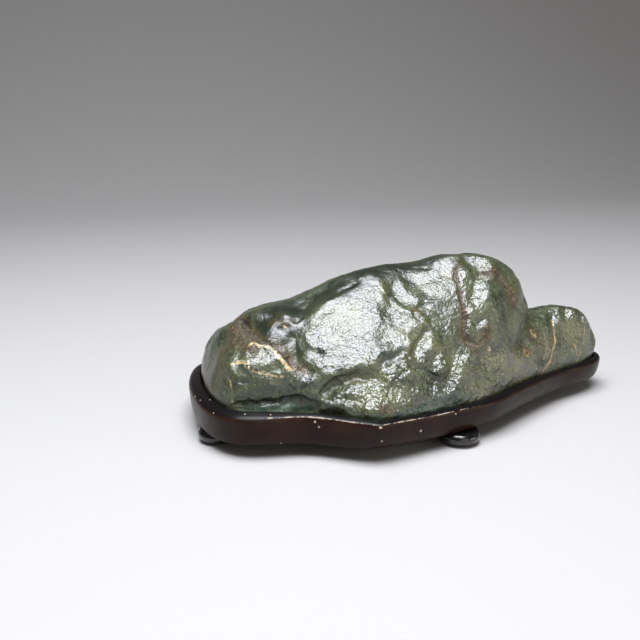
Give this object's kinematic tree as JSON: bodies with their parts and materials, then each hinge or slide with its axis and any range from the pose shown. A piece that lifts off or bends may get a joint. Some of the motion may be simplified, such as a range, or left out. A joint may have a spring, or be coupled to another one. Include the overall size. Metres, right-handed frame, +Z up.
{
  "type": "suiseki viewing stone on a wooden stand",
  "caption": "Long low mountain-shaped viewing stone, waxed grey-green with rusty veins, set in a dark lacquered carved wooden stand on bun feet.",
  "frame": {"origin": "on the surface that the feet stand on, under the middle of the object's box", "axes": "+X along the length towards the low tail of the stone, -Y is the front, +Z up"},
  "size_m": [0.2968, 0.1476, 0.106],
  "materials": {
    "waxed_stone": "grey-green stone, rubbed with wax to a satin sheen, with rust and cream veins",
    "lacquered_wood": "carved wood under worn brown-black lacquer",
    "black_lacquer": "turned wood under glossy black lacquer"
  },
  "bodies": {
    "root": {"stone": "waxed_stone", "daiza": "lacquered_wood", "foot_front_left": "black_lacquer", "foot_front_right": "black_lacquer", "foot_back_left": "black_lacquer", "foot_back_right": "black_lacquer"}
  },
  "joints": []
}
